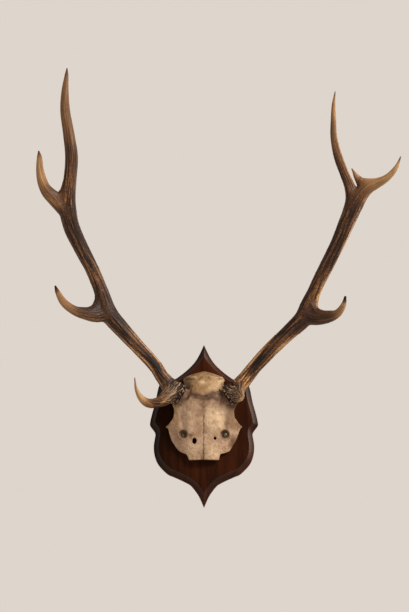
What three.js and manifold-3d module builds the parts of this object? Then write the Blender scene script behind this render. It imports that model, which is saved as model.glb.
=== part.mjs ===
// A red deer stag's skull cap with both antlers, screwed to an ogee-pointed wooden wall shield.
// Millimetres, +Z up. The origin is the centre of the shield's back face, the wall is the plane
// y = 0 and the object stands out from it towards -Y. Left and right are the viewer's.
import * as THREE from 'three';
import { mergeVertices } from 'three/addons/utils/BufferGeometryUtils.js';
import Module from 'manifold-3d';

const wasm = await Module();
wasm.setup();

// Clearance between pieces that touch
const GAP = 0.3;

// Shield: thickness, height of its square edge, and how far the slope above it is hollowed
const SHIELD_THICKNESS = 24;
const SHIELD_EDGE = 6.5;
const SLOPE_HOLLOW = 1.6;

// Skull: bone thickness over the face and over the braincase, and of the eye sockets' inner walls
const FACE_BONE = 7;
const BRAINCASE_BONE = 6;
const SOCKET_WALL = 4;
const SKULL_COLUMNS = 14;
const PEDICLE_RADIUS = 16;

// Screws through the bone into the wood
const SCREW_X = 41.2;
const SCREW_Z = -25.5;
const SCREW_HEAD_RADIUS = 4.6;
const SCREW_HEAD_HEIGHT = 2.6;
const SCREW_SHANK_RADIUS = 2.2;
const SCREW_DEPTH_IN_WOOD = 14;
const SOCKET_RADIUS = 7.8;
const SOCKET_FLOOR = 19.5;
const BOSS_RADIUS = 11;

// Burrs at the foot of each antler
const BURR_RADIUS = 22.5;
const BURR_BELOW = 5;
const BURR_ABOVE = 9;
const PEARLS = 11;

// Antler skin: sides of a section, length of one facet and depth of the long ridges
const HORN_SIDES = 14;
const FACET = 18.5;
const RIDGE = 0.75;

// Hanging plate let into the shield's back
const PLATE_Z = 95;
const PLATE_LENGTH = 46;
const PLATE_WIDTH = 20;
const PLATE_THICKNESS = 1.6;
const KEYHOLE_RADIUS = 5;
const KEYHOLE_DROP = 7;
const KEYHOLE_SLOT = 5;
const KEYHOLE_RISE = 15;
const POCKET_WIDTH = 14;
const POCKET_DEPTH = 13;
const PLATE_SCREW_SPACING = 37;
const PLATE_SCREW_HEAD = 3.4;

const BONE = { color: 0xb4966f, roughness: 0.62, metalness: 0 };
const BEAM = { color: 0x4b3321, roughness: 0.55, metalness: 0 };
const TINE = { color: 0x7a5a38, roughness: 0.5, metalness: 0 };
const MAHOGANY = { color: 0x2b120a, roughness: 0.38, metalness: 0 };
const STEEL = { color: 0x6c6a62, roughness: 0.45, metalness: 0.8 };

// Half of the shield, from the top point to the bottom point:
// x and z of the outer edge, then x and z where the slope meets the flat front
const SHIELD_HALF = [
  [0, 165.5, 0, 139],
  [6, 152, 3.5, 131.5],
  [13, 138, 8, 125],
  [22.5, 124.5, 15, 117],
  [34.5, 112.5, 27, 104.5],
  [46, 103, 39.5, 94.5],
  [58, 94.5, 52.5, 85.5],
  [72, 88.5, 67, 79],
  [89.5, 83, 81, 74],
  [92.8, 72, 82.8, 68.5],
  [97.5, 47.5, 87.2, 45],
  [104, 23, 93.8, 20.5],
  [107.8, 5, 96.8, 5],
  [106.8, -1.5, 95.8, 1],
  [99.2, -12, 89.2, -7.5],
  [96.9, -18.6, 86.6, -17.5],
  [98.2, -28, 87.6, -29],
  [100, -43, 89.5, -43],
  [98, -61, 88, -57.8],
  [90.3, -79, 81.6, -73],
  [73, -97, 66.8, -88.4],
  [60.5, -103, 56, -93.4],
  [47, -109, 42.6, -99.4],
  [35, -115, 29.8, -106],
  [26, -120.5, 19.2, -112.6],
  [16, -132.5, 7.6, -125.5],
  [8.5, -144.5, 3.2, -131.5],
  [0, -164, 0, -137.5],
];

// Rows of the skull from the sawn nose end up to the nape. Each is: z, half-width on the left and
// on the right, smooth half-width that the vault follows, height above the shield's face in the
// middle and at that half-width, and how boxy the vault is
const SKULL_ROWS = [
  [-74, 30, 30, 31, 17, 10.5, 2.2],
  [-68, 32.5, 31, 34, 18.5, 10.5, 2.2],
  [-63, 35, 32, 38, 20, 9.5, 2.3],
  [-60.5, 40.5, 40, 41, 21, 8.5, 2.3],
  [-56, 49, 50, 48, 22.5, 8, 2.4],
  [-45, 58, 57.5, 57, 25.5, 8, 2.4],
  [-34, 64.5, 64, 64, 28.5, 9.5, 2.5],
  [-23, 68.5, 68, 68, 32, 12, 2.6],
  [-12, 71.5, 72.5, 69, 35.5, 16, 2.6],
  [-8.5, 76.5, 76, 69, 36.5, 17.5, 2.6],
  [-4, 70, 70, 68.5, 38, 19.5, 2.6],
  [3, 64.5, 64, 66, 40, 22, 2.5],
  [10, 60.5, 60.5, 63.5, 42.5, 25, 2.4],
  [22, 59.4, 60, 62, 46, 28.5, 2.3],
  [34, 63, 64.5, 63, 50, 30.5, 2.2],
  [44, 63, 64, 62, 52.5, 30, 2.2],
  [50, 56, 56, 57, 52.5, 28, 2.4],
  [54, 49, 49, 50, 49.5, 22, 2.8],
  [60, 41, 40, 41, 47.5, 8, 3.2],
  [68, 39.4, 38.3, 39, 44, 0, 3.4],
  [77, 40, 39, 39.5, 39, 0, 3.4],
  [84, 41, 40.5, 41, 34.5, 0, 3.2],
  [89, 41, 41, 41, 30, 0, 3],
  [93, 39.5, 38.8, 39.2, 26, 0, 2.8],
  [97, 32.5, 33, 33, 21.5, 0, 2.6],
  [100.5, 22, 24, 23, 17, 0, 2.4],
  [103, 13, 15, 14, 12.5, 0, 2.2],
  [105, 5, 6, 5.5, 7, 0, 2.2],
];

// Inner wall of each eye socket, from the nose up to the braincase: half-width, z
const SOCKET_WALL_LINE = [
  [41, -52],
  [35, -38],
  [29, -20],
  [26, 0],
  [27.5, 18],
  [31.5, 36],
  [36.5, 56],
  [36, 72],
];

// Antler routes. Each station is x, y, z and radius
const LEFT_BEAM = [
  [-51, -58.5, 54, 18],
  [-66, -62, 67.5, 16.5],
  [-81.5, -67, 84.5, 14.2],
  [-95, -72, 105, 13.6],
  [-127, -82, 139, 14],
  [-159, -92, 173, 15.6],
  [-188, -102, 207, 17.3],
  [-202, -113, 247, 14.2],
  [-220, -126, 289, 13.7],
  [-242, -143, 329, 14.7],
  [-260, -163, 367, 16.2],
  [-266, -181, 400, 16.2],
  [-264, -193, 424, 14.2],
  [-260, -204, 457, 12.6],
  [-258, -215, 492, 12.5],
  [-263, -227, 533, 11.2],
  [-270, -241, 578, 9.6],
  [-270, -252, 614, 6.9],
  [-267, -261, 643, 3.8],
  [-266, -266, 656, 1.2],
];
const LEFT_JUNCTION = 6.45;
const LEFT_FORK = 10.95;

const LEFT_BROW = [
  [-60, -63, 64, 15.5],
  [-73, -80, 43, 13.5],
  [-86, -98, 30, 10.4],
  [-106, -130, 20.5, 8.9],
  [-119, -153, 25, 6.6],
  [-128, -173, 38, 3.3],
  [-131, -190, 58, 1.1],
];
const LEFT_TRAY = [
  [-189, -103, 209, 15],
  [-208, -112, 200, 14.3],
  [-231, -127, 198, 11.3],
  [-253, -145, 201.5, 8.9],
  [-271, -163, 212, 7.4],
  [-282, -178, 229, 4.8],
  [-286, -186, 239, 1.8],
];
const LEFT_OUTER = [
  [-263, -173, 385, 10.5],
  [-276, -184, 396, 12.5],
  [-292, -196, 410, 12],
  [-305, -206, 423, 11],
  [-313, -217, 440, 9.7],
  [-317, -230, 460, 7.3],
  [-317, -243, 480, 5],
  [-318, -250, 491, 1.4],
];

const RIGHT_BEAM = [
  [52, -58.5, 52, 18],
  [66, -62, 65.5, 17],
  [81, -65, 82, 14.6],
  [101, -72, 106, 14],
  [134, -82, 140, 14.8],
  [169, -92, 172, 15.7],
  [193, -101, 194, 17.5],
  [206, -108, 222, 15.8],
  [221, -118, 256, 13.4],
  [242, -133, 297, 13.9],
  [263, -150, 337, 14.2],
  [281, -170, 377, 15.8],
  [294, -184, 405, 17.2],
  [306, -193, 422, 14.8],
  [319, -203, 432.5, 12.4],
  [333, -212, 437, 10.1],
  [353, -226, 444, 7.1],
  [369, -238, 459, 4.6],
  [379, -246, 481, 1.1],
];
const RIGHT_JUNCTION = 6.45;
const RIGHT_FORK = 12.05;

const RIGHT_STUB = [
  [55, -59, 57, 14],
  [63, -68, 50, 13],
  [68, -75, 46, 12],
  [71.5, -80, 43.5, 9],
  [73.5, -83, 42, 4.5],
];
const RIGHT_TRAY = [
  [196, -102, 205, 15],
  [214, -112, 195, 14.8],
  [238, -129, 190, 11.1],
  [258, -148, 193.5, 8],
  [269, -166, 206, 5.4],
  [272, -178, 220, 2.3],
];
const RIGHT_INNER = [
  [290, -181, 396, 12.5],
  [289, -188, 420, 12.6],
  [283, -195, 440, 10.2],
  [273, -205, 461, 9],
  [260, -219, 492, 8.3],
  [252, -233, 525, 6.6],
  [251, -245, 556, 5.4],
  [251, -255, 584, 3.5],
  [254, -263, 609, 1],
];
const RIGHT_BACK = [
  [317, -197, 425, 9],
  [307, -198, 442, 8],
  [298, -203, 454, 5.8],
  [287, -212, 469, 1.1],
];

// Burr centres and the way each one faces, up along its antler
const LEFT_BURR = new THREE.Vector3(-50, -58, 53);
const LEFT_BURR_AXIS = new THREE.Vector3(-0.85, -0.25, 0.46).normalize();
const RIGHT_BURR = new THREE.Vector3(51, -58, 51);
const RIGHT_BURR_AXIS = new THREE.Vector3(0.85, -0.25, 0.46).normalize();

const WALL_NORMAL = new THREE.Vector3(0, 1, 0);
const SIDEWAYS = new THREE.Vector3(1, 0, 0);

// Solids: joining and cutting

function solid(geometry) {
  geometry.deleteAttribute('normal');
  geometry.deleteAttribute('uv');
  const merged = mergeVertices(geometry, 1e-4);
  return new wasm.Manifold(new wasm.Mesh({
    numProp: 3,
    vertProperties: new Float32Array(merged.attributes.position.array),
    triVerts: new Uint32Array(merged.index.array),
  }));
}

function geometryOf(body) {
  const mesh = body.getMesh();
  const geometry = new THREE.BufferGeometry();
  geometry.setAttribute('position', new THREE.BufferAttribute(mesh.vertProperties, 3));
  geometry.setIndex(new THREE.BufferAttribute(mesh.triVerts, 1));
  geometry.computeVertexNormals();
  return geometry;
}

// Moves every vertex of a geometry to the place that a function gives for it
function reshape(geometry, place) {
  const position = geometry.attributes.position;
  const uv = geometry.attributes.uv;
  const vertex = new THREE.Vector3();
  for (let i = 0; i < position.count; i += 1) {
    vertex.fromBufferAttribute(position, i);
    const moved = place(vertex, uv.getX(i));
    position.setXYZ(i, moved.x, moved.y, moved.z);
  }
  return geometry;
}

// A round bar along Y, from one depth to another
function roundBar(radius, x, z, yBack, yFront, sides) {
  const bar = new THREE.CylinderGeometry(radius, radius, yBack - yFront, sides);
  return bar.translate(x, (yBack + yFront) / 2, z);
}

// A body turned about an axis along -Y, from a profile of radius and height above y = 0
function turned(profile, sides) {
  const points = profile.map(([radius, height]) => new THREE.Vector2(radius, height));
  return new THREE.LatheGeometry(points, sides);
}

// Value at z of a table whose rows start with z, in rising order
function along(rows, z, column) {
  const last = rows.length - 1;
  const above = rows.findIndex((row) => row[0] >= z);
  if (above <= 0) {
    return rows[above === 0 ? 0 : last][column];
  }
  const low = rows[above - 1];
  const high = rows[above];
  return THREE.MathUtils.lerp(low[column], high[column], (z - low[0]) / (high[0] - low[0]));
}

function bump(distance, reach) {
  return Math.exp(-((distance / reach) ** 2));
}

// Antler bars

function sectionAxes(tangent, across) {
  const outward = across.clone().addScaledVector(tangent, -across.dot(tangent)).normalize();
  const sideways = new THREE.Vector3().crossVectors(outward, tangent);
  return { outward, sideways };
}

// A bar of changing radius along its stations, between two places counted in stations.
// Long ridges run down it, and grow adds the same thickness all over
function horn(stations, options = {}) {
  const { from = 0, to = stations.length - 1, across = WALL_NORMAL, grow = 0 } = options;
  const { sides = HORN_SIDES, ridge = RIDGE } = options;
  const path = new THREE.CatmullRomCurve3(
    stations.map(([x, y, z]) => new THREE.Vector3(x, y, z)),
    false,
    'centripetal',
  );
  const radii = new THREE.SplineCurve(stations.map((station, i) => new THREE.Vector2(i, station[3])));
  const spans = stations.length - 1;
  let length = 0;
  for (let i = Math.floor(from); i < to; i += 1) {
    length += path.getPoint(i / spans).distanceTo(path.getPoint(Math.min(i + 1, to) / spans));
  }
  const rings = Math.max(2, Math.round(length / FACET));
  const bar = new THREE.CylinderGeometry(1, 1, 1, sides, rings);
  return reshape(bar, (vertex) => {
    const share = vertex.y + 0.5;
    const t = THREE.MathUtils.lerp(from, to, share) / spans;
    const centre = path.getPoint(t);
    const tangent = path.getTangent(t);
    const { outward, sideways } = sectionAxes(tangent, across);
    const plain = radii.getPoint(t).y;
    const onSkin = Math.hypot(vertex.x, vertex.z);
    const angle = Math.atan2(vertex.z, vertex.x);
    const ridged = ridge * Math.min(1, plain / 12) * Math.cos((angle * sides) / 2);
    const lump = 0.03 * plain * Math.sin(3 * angle + 40 * t);
    const radius = (plain + ridged + lump + grow) * onSkin;
    const endShift = share < 0.001 ? -grow : share > 0.999 ? grow : 0;
    return centre
      .addScaledVector(tangent, endShift)
      .addScaledVector(outward, radius * Math.cos(angle))
      .addScaledVector(sideways, radius * Math.sin(angle));
  });
}

// The coronet of pearls round an antler's foot
function burr(centre, axis, grow = 0) {
  const profile = [0.76, 0.95, 1, 0.93, 0.78];
  const ring = new THREE.CylinderGeometry(1, 1, 1, PEARLS * 2, profile.length - 1);
  const { outward, sideways } = sectionAxes(axis, WALL_NORMAL);
  return reshape(ring, (vertex) => {
    const share = vertex.y + 0.5;
    const level = Math.round(share * (profile.length - 1));
    const onSkin = Math.hypot(vertex.x, vertex.z);
    const angle = Math.atan2(vertex.z, vertex.x);
    const pearl = level > 0 ? 0.05 * Math.cos(PEARLS * angle) : 0;
    const radius = (BURR_RADIUS * (profile[level] + pearl) + grow) * onSkin;
    const height = THREE.MathUtils.lerp(-BURR_BELOW - grow, BURR_ABOVE + grow, share);
    return centre
      .clone()
      .addScaledVector(axis, height)
      .addScaledVector(outward, radius * Math.cos(angle))
      .addScaledVector(sideways, radius * Math.sin(angle));
  });
}

function leftLowerBeam(grow = 0) {
  const beam = solid(horn(LEFT_BEAM, { to: LEFT_JUNCTION, grow }));
  return beam.add(solid(burr(LEFT_BURR, LEFT_BURR_AXIS, grow)));
}

function rightLowerBeam(grow = 0) {
  const beam = solid(horn(RIGHT_BEAM, { to: RIGHT_JUNCTION, grow }));
  const stub = solid(horn(RIGHT_STUB, { across: SIDEWAYS, grow }));
  return beam.add(solid(burr(RIGHT_BURR, RIGHT_BURR_AXIS, grow))).add(stub);
}

// Shield

const HALF_COUNT = SHIELD_HALF.length - 1;

// Point of the shield's outline, counted clockwise from the top point; slope runs from 0 at the
// outer edge to 1 at the flat front
function shieldPoint(index, slope) {
  const mirrored = index > HALF_COUNT;
  const row = SHIELD_HALF[mirrored ? 2 * HALF_COUNT - index : index];
  const x = THREE.MathUtils.lerp(row[0], row[2], slope);
  const z = THREE.MathUtils.lerp(row[1], row[3], slope);
  return new THREE.Vector2(mirrored ? -x : x, z);
}

function shieldBoard() {
  const slopeRise = SHIELD_THICKNESS - SHIELD_EDGE;
  const levels = [
    { depth: 0, slope: 0 },
    { depth: SHIELD_EDGE, slope: 0 },
    { depth: SHIELD_EDGE + slopeRise / 2 - SLOPE_HOLLOW, slope: 0.5 },
    { depth: SHIELD_THICKNESS, slope: 1 },
  ];
  const board = new THREE.CylinderGeometry(1, 1, 1, 2 * HALF_COUNT, levels.length - 1);
  return reshape(board, (vertex) => {
    const level = levels[Math.round((0.5 - vertex.y) * (levels.length - 1))];
    const onEdge = Math.hypot(vertex.x, vertex.z) > 0.5;
    const turn = (Math.atan2(vertex.x, vertex.z) / (2 * Math.PI) + 1) % 1;
    const index = Math.round(turn * 2 * HALF_COUNT) % (2 * HALF_COUNT);
    const point = onEdge ? shieldPoint(index, level.slope) : new THREE.Vector2(0, 0);
    return new THREE.Vector3(point.x, -level.depth, point.y);
  });
}

// A flat outline with round ends, standing in the plane of the shield
function roundedSlab(width, length, yBack, yFront) {
  const half = width / 2;
  const straight = length / 2 - half;
  const outline = new THREE.Shape();
  outline.absarc(0, straight, half, 0, Math.PI, false);
  outline.absarc(0, -straight, half, Math.PI, 2 * Math.PI, false);
  outline.closePath();
  return standing(outline, yBack, yFront);
}

function standing(outline, yBack, yFront) {
  const slab = new THREE.ExtrudeGeometry(outline, {
    depth: yBack - yFront,
    bevelEnabled: false,
    curveSegments: 5,
  });
  return slab.rotateX(Math.PI / 2).translate(0, yBack, 0);
}

function shieldBody() {
  const ledge = PLATE_THICKNESS + 2 * GAP;
  const recess = roundedSlab(PLATE_WIDTH + 2 * GAP, PLATE_LENGTH + 2 * GAP, 1, -ledge);
  const pocketLength = KEYHOLE_DROP + KEYHOLE_RISE + 2 * KEYHOLE_RADIUS - 4;
  const pocket = roundedSlab(POCKET_WIDTH, pocketLength, 1, -POCKET_DEPTH);
  let body = solid(shieldBoard())
    .subtract(solid(recess.translate(0, 0, PLATE_Z)))
    .subtract(solid(pocket.translate(0, 0, PLATE_Z)));
  for (const side of [-1, 1]) {
    const hole = roundBar(
      SCREW_SHANK_RADIUS + 0.4,
      side * SCREW_X,
      SCREW_Z,
      -(SHIELD_THICKNESS - SCREW_DEPTH_IN_WOOD - 1),
      -(SHIELD_THICKNESS + 1),
      12,
    );
    const plateHole = roundBar(
      2,
      0,
      PLATE_Z + (side * PLATE_SCREW_SPACING) / 2,
      0,
      -15,
      10,
    );
    body = body.subtract(solid(hole)).subtract(solid(plateHole));
  }
  return body;
}

// Hanging plate and its screws

function keyhole() {
  const outline = new THREE.Path();
  const low = -KEYHOLE_DROP;
  const half = KEYHOLE_SLOT / 2;
  const neck = Math.acos(half / KEYHOLE_RADIUS);
  outline.absarc(0, low, KEYHOLE_RADIUS, Math.PI - neck, neck, false);
  outline.absarc(0, KEYHOLE_RISE - KEYHOLE_DROP, half, 0, Math.PI, false);
  outline.closePath();
  return outline;
}

function hangerPlate() {
  const half = PLATE_WIDTH / 2;
  const straight = PLATE_LENGTH / 2 - half;
  const outline = new THREE.Shape();
  outline.absarc(0, straight, half, 0, Math.PI, false);
  outline.absarc(0, -straight, half, Math.PI, 2 * Math.PI, false);
  outline.closePath();
  outline.holes.push(keyhole());
  const front = -GAP - PLATE_THICKNESS;
  let body = solid(standing(outline, -GAP, front).translate(0, 0, PLATE_Z));
  for (const side of [-1, 1]) {
    const outer = PLATE_SCREW_HEAD + 4 * GAP;
    const sink = new THREE.CylinderGeometry(outer, outer - 3, 3, 14);
    sink.translate(0, GAP - 1.5, PLATE_Z + (side * PLATE_SCREW_SPACING) / 2);
    body = body.subtract(solid(sink));
  }
  return body;
}

// Round-headed wood screw standing on y = 0 with its head towards -Y
function woodScrew(headRadius, headHeight, shankRadius, shankLength) {
  const profile = [
    [0, shankLength],
    [shankRadius * 0.45, shankLength - 1],
    [shankRadius, shankLength - 5],
    [shankRadius, 0],
    [headRadius, 0],
    [headRadius, -headHeight * 0.45],
    [headRadius * 0.72, -headHeight * 0.9],
    [0, -headHeight],
  ];
  return turned(profile.reverse(), 12);
}

function slot(width, length, depth, top) {
  return new THREE.BoxGeometry(length, depth * 2, width).translate(0, top, 0);
}

// Skull

function skullRow(z) {
  const columns = [1, 2, 3, 4, 5, 6].map((column) => along(SKULL_ROWS, z, column));
  const [left, right, vault, middle, edge, boxy] = columns;
  return { left, right, vault, middle, edge, boxy };
}

// Height of the bone's outer face above the shield
function skullHeight(x, z) {
  const row = skullRow(z);
  const fall = (row.middle - row.edge) * Math.abs(x / row.vault) ** row.boxy;
  const suture = 1.6 * bump(x + 1, 3) * bump(z + 12, 30);
  const browGroove = 3.2 * bump(Math.abs(x) - 40, 6) * bump(z + 6, 14);
  const browSwell = 1.8 * bump(Math.abs(x) - 27, 9) * bump(z - 2, 22);
  const napeCrease = 2.2 * bump(z - 86, 3) * (1 - bump(x, 7));
  return Math.max(0, row.middle - fall - suture - browGroove + browSwell - napeCrease);
}

// Columns lie closer together along the middle seam
function columnShare(share) {
  return Math.sign(share) * Math.abs(share) ** 1.15;
}

// The bone between its outer face, lowered by drop, and an inner face given by inside
function skullShell(drop, inside) {
  const rows = SKULL_ROWS.length - 1;
  const slab = new THREE.BoxGeometry(2, 1, 1, SKULL_COLUMNS, rows, 1);
  return reshape(slab, (vertex) => {
    const z = SKULL_ROWS[Math.round((vertex.y + 0.5) * rows)][0];
    const row = skullRow(z);
    const share = columnShare(vertex.x);
    const half = share < 0 ? row.left : row.right;
    const x = share * half;
    const place = { x, height: skullHeight(x, z) - drop, z };
    if (vertex.z < 0) {
      inside(place, half);
    }
    const height = Math.max(place.height, vertex.z < 0 ? GAP : 2 * GAP);
    return new THREE.Vector3(place.x, -SHIELD_THICKNESS - height, place.z);
  });
}

function hollowInside(place, half) {
  const braincase = THREE.MathUtils.smoothstep(place.z, 45, 66);
  const crown = THREE.MathUtils.smoothstep(place.z, 78, 105);
  const bone = THREE.MathUtils.lerp(FACE_BONE, BRAINCASE_BONE, braincase);
  const inset = THREE.MathUtils.lerp(2.5, 5.5, braincase);
  place.x *= Math.max(0.2, (half - inset) / half);
  place.height -= bone;
  place.z -= 6 * crown;
}

function flatInside(place) {
  place.height = GAP;
}

// Thicker bone that the screws bear on
function screwBoss(side, fill) {
  const face = -SHIELD_THICKNESS;
  const bar = roundBar(BOSS_RADIUS, side * SCREW_X, SCREW_Z, face - SOCKET_FLOOR + 7, face - 50, 12);
  return solid(bar).intersect(fill);
}

function socketWall(side, fill) {
  const outer = new THREE.SplineCurve(
    SOCKET_WALL_LINE.map(([x, z]) => new THREE.Vector2(side * x, z)),
  ).getPoints(9);
  const inner = outer.map((point) => new THREE.Vector2(point.x - side * SOCKET_WALL, point.y));
  const outline = new THREE.Shape([...outer, ...inner.reverse()]);
  const yBack = -SHIELD_THICKNESS - GAP;
  return solid(standing(outline, yBack, yBack - 60)).intersect(fill);
}

function pedicle(centre, axis) {
  const stations = [-36, -18, -BURR_BELOW - GAP].map((height) => {
    const point = centre.clone().addScaledVector(axis, height);
    return [point.x, point.y, point.z, PEDICLE_RADIUS - height / 12];
  });
  return solid(horn(stations, { ridge: 0, sides: 12 }));
}

function foramen(x, z, width, height) {
  const back = -SHIELD_THICKNESS - 5;
  const bar = roundBar(1, 0, 0, back, back - 50, 10);
  return solid(bar.scale(width / 2, 1, height / 2).translate(x, 0, z));
}

function skullBody() {
  const fill = solid(skullShell(2, flatInside));
  let body = solid(skullShell(0, hollowInside));
  for (const side of [-1, 1]) {
    body = body.add(socketWall(side, fill)).add(screwBoss(side, fill));
  }
  body = body
    .add(pedicle(LEFT_BURR, LEFT_BURR_AXIS))
    .add(pedicle(RIGHT_BURR, RIGHT_BURR_AXIS))
    .subtract(leftLowerBeam(GAP))
    .subtract(rightLowerBeam(GAP))
    .subtract(foramen(-18.8, -38.5, 8.4, 11.8))
    .subtract(foramen(21.6, -33.5, 5.4, 6.4));
  const face = -SHIELD_THICKNESS;
  for (const side of [-1, 1]) {
    const x = side * SCREW_X;
    const socket = roundBar(SOCKET_RADIUS, x, SCREW_Z, face - SOCKET_FLOOR, face - 50, 16);
    const hole = roundBar(SCREW_SHANK_RADIUS + 0.4, x, SCREW_Z, face - 5, face - 50, 10);
    body = body.subtract(solid(socket)).subtract(solid(hole));
  }
  return body;
}

function skullScrew(side) {
  const floor = SHIELD_THICKNESS + SOCKET_FLOOR + GAP;
  const length = SOCKET_FLOOR + SCREW_DEPTH_IN_WOOD;
  const screw = woodScrew(SCREW_HEAD_RADIUS, SCREW_HEAD_HEIGHT, SCREW_SHANK_RADIUS, length);
  const cut = slot(1.2, 6.4, 1.3, -SCREW_HEAD_HEIGHT);
  const crossCut = slot(6.4, 1.2, 1.3, -SCREW_HEAD_HEIGHT);
  const body = solid(screw).subtract(solid(cut)).subtract(solid(crossCut));
  return geometryOf(body).rotateY(0.6 + side * 0.3).translate(side * SCREW_X, -floor, SCREW_Z);
}

// Countersunk screw let into the hanging plate from the wall side
function plateScrew(side) {
  const profile = [
    [0, -14],
    [0.8, -12.5],
    [1.5, -10],
    [1.5, -(PLATE_SCREW_HEAD - 1.5)],
    [PLATE_SCREW_HEAD, 0],
    [0, 0],
  ];
  const z = PLATE_Z + (side * PLATE_SCREW_SPACING) / 2;
  return turned(profile, 12).translate(0, -GAP, z);
}

// The object

const object = new THREE.Group();

function addPiece(name, geometry, look) {
  const mesh = new THREE.Mesh(geometry, new THREE.MeshStandardMaterial(look));
  mesh.name = name;
  object.add(mesh);
}

function cutBy(body, others) {
  return others.reduce((rest, other) => rest.subtract(other), body);
}

addPiece('shield', geometryOf(shieldBody()), MAHOGANY);
addPiece('hanger_plate', geometryOf(hangerPlate()), STEEL);
addPiece('hanger_screw_top', geometryOf(solid(plateScrew(1))), STEEL);
addPiece('hanger_screw_bottom', geometryOf(solid(plateScrew(-1))), STEEL);
addPiece('skull', geometryOf(skullBody()), BONE);
addPiece('left_screw', skullScrew(-1), STEEL);
addPiece('right_screw', skullScrew(1), STEEL);

function leftAntler() {
  const seam = GAP / 40;
  const parts = (grow) => ({
    lower: leftLowerBeam(grow),
    upper: solid(horn(LEFT_BEAM, { from: LEFT_JUNCTION + seam, to: LEFT_FORK, grow })),
    top: solid(horn(LEFT_BEAM, { from: LEFT_FORK + seam, grow })),
  });
  const whole = parts(0);
  const grown = parts(GAP);
  const brow = solid(horn(LEFT_BROW, { across: SIDEWAYS }));
  const tray = solid(horn(LEFT_TRAY));
  const outer = solid(horn(LEFT_OUTER));
  addPiece('left_lower_beam', geometryOf(whole.lower), BEAM);
  addPiece('left_upper_beam', geometryOf(whole.upper), BEAM);
  addPiece('left_top_tine', geometryOf(whole.top), TINE);
  addPiece('left_brow_tine', geometryOf(cutBy(brow, [grown.lower])), TINE);
  addPiece('left_tray_tine', geometryOf(cutBy(tray, [grown.lower, grown.upper])), TINE);
  addPiece('left_outer_tine', geometryOf(cutBy(outer, [grown.upper, grown.top])), TINE);
}

function rightAntler() {
  const seam = GAP / 40;
  const parts = (grow) => ({
    lower: rightLowerBeam(grow),
    upper: solid(horn(RIGHT_BEAM, { from: RIGHT_JUNCTION + seam, to: RIGHT_FORK, grow })),
    outer: solid(horn(RIGHT_BEAM, { from: RIGHT_FORK + seam, grow })),
  });
  const whole = parts(0);
  const grown = parts(GAP);
  const tray = solid(horn(RIGHT_TRAY));
  const inner = cutBy(solid(horn(RIGHT_INNER)), [grown.upper, grown.outer]);
  const back = cutBy(solid(horn(RIGHT_BACK)), [grown.outer]);
  addPiece('right_lower_beam', geometryOf(whole.lower), BEAM);
  addPiece('right_upper_beam', geometryOf(whole.upper), BEAM);
  addPiece('right_outer_tine', geometryOf(whole.outer), TINE);
  addPiece('right_tray_tine', geometryOf(cutBy(tray, [grown.lower, grown.upper])), TINE);
  addPiece('right_inner_tine', geometryOf(inner), TINE);
  addPiece('right_back_tine', geometryOf(back), TINE);
}

leftAntler();
rightAntler();

export default object;
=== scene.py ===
import math
from collections import namedtuple

import bmesh
import bpy
import numpy as np
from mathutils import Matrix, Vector


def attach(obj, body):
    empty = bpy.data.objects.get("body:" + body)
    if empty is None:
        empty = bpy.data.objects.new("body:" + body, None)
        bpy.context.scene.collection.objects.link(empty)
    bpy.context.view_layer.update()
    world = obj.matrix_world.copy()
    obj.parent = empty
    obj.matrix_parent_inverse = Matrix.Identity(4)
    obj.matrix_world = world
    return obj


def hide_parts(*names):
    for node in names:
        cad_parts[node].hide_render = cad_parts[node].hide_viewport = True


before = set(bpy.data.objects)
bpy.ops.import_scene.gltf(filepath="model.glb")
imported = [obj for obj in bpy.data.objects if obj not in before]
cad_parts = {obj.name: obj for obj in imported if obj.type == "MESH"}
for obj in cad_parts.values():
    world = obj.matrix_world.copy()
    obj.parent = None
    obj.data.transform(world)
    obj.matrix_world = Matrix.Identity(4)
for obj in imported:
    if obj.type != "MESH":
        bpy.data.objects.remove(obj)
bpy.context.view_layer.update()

MM = 0.001
TO_WALL = np.array([0.0, 1.0, 0.0])
SIDEWAYS = np.array([1.0, 0.0, 0.0])

# Shield, with the same thickness and edge as its solid
SHIELD_THICKNESS = 24
SHIELD_FACE = -SHIELD_THICKNESS
SHIELD_EDGE = 6.5
EDGE_ROUND = 0.7
SLOPE_HOLLOW = 1.6
OUTLINE_STEPS = 7
SHIELD_CORNERS = (0, 8, 27)

# Half of the shield from the top point to the bottom point:
# x and z of the outer edge, then x and z where the slope meets the flat front
SHIELD_HALF = [
    [0, 165.5, 0, 139], [6, 152, 3.5, 131.5], [13, 138, 8, 125],
    [22.5, 124.5, 15, 117], [34.5, 112.5, 27, 104.5], [46, 103, 39.5, 94.5],
    [58, 94.5, 52.5, 85.5], [72, 88.5, 67, 79], [89.5, 83, 81, 74],
    [92.8, 72, 82.8, 68.5], [97.5, 47.5, 87.2, 45], [104, 23, 93.8, 20.5],
    [107.8, 5, 96.8, 5], [106.8, -1.5, 95.8, 1], [99.2, -12, 89.2, -7.5],
    [96.9, -18.6, 86.6, -17.5], [98.2, -28, 87.6, -29], [100, -43, 89.5, -43],
    [98, -61, 88, -57.8], [90.3, -79, 81.6, -73], [73, -97, 66.8, -88.4],
    [60.5, -103, 56, -93.4], [47, -109, 42.6, -99.4], [35, -115, 29.8, -106],
    [26, -120.5, 19.2, -112.6], [16, -132.5, 7.6, -125.5], [8.5, -144.5, 3.2, -131.5],
    [0, -164, 0, -137.5],
]

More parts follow.
